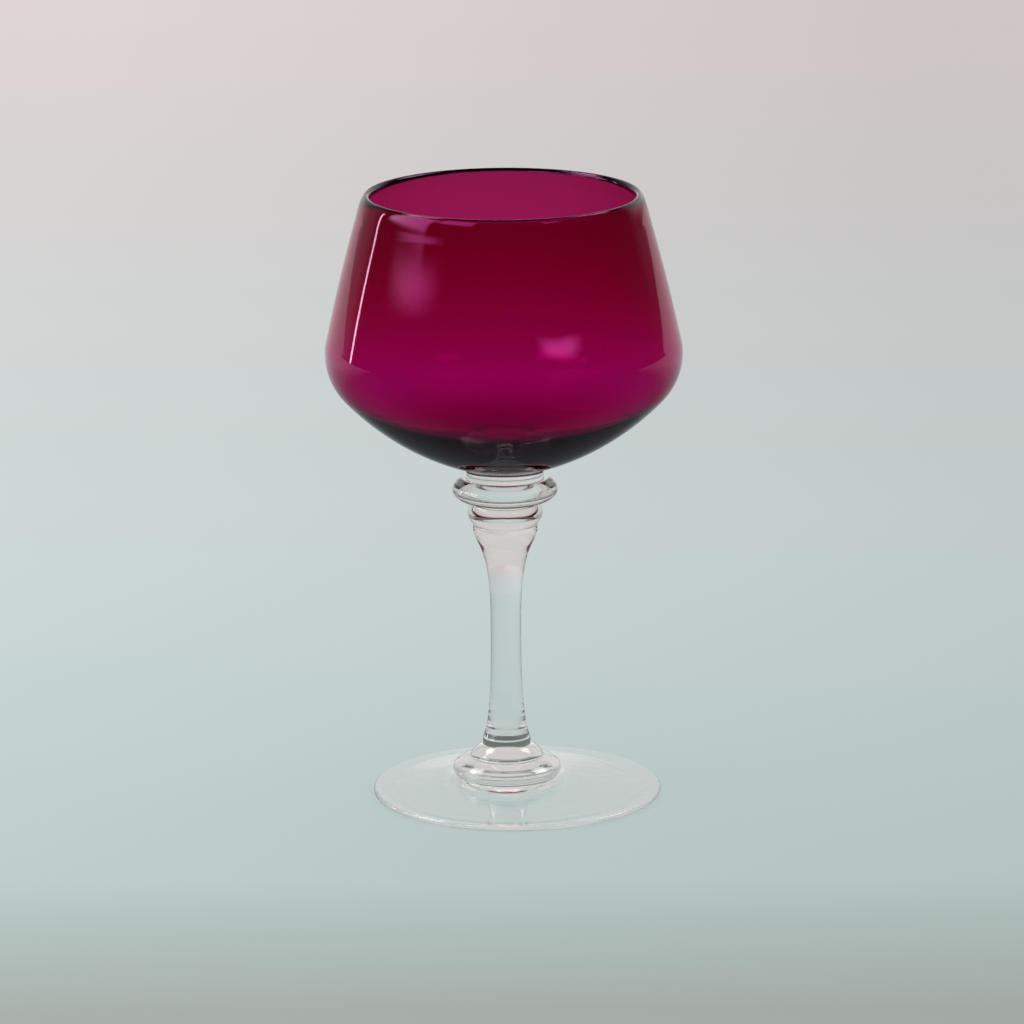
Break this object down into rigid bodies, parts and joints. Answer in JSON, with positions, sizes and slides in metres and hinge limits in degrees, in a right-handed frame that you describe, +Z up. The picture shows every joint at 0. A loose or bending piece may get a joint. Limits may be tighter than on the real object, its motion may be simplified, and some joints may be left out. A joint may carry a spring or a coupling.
{
  "type": "gin glass",
  "caption": "Stemmed gin goblet with a wide magenta bowl, clear stem with fused ring beads at both ends and a round foot, hollow underneath.",
  "frame": {"origin": "on the table under the middle of the bowl, where the bowl's axis meets the plane that the foot rests on", "axes": "+Z up along the stem towards the rim, +X towards the side where the foot reaches furthest, +Y away from the camera"},
  "size_m": [0.099, 0.099, 0.1712],
  "materials": {
    "magenta_glass": "fire-polished, transparent magenta",
    "clear_glass": "fire-polished, clear"
  },
  "bodies": {
    "root": {"bowl": "magenta_glass", "bowl_wafer": "clear_glass", "neck_ring": "clear_glass", "neck_bead": "clear_glass", "stem": "clear_glass", "foot_bead": "clear_glass", "foot_ring": "clear_glass", "foot": "clear_glass"}
  },
  "joints": []
}
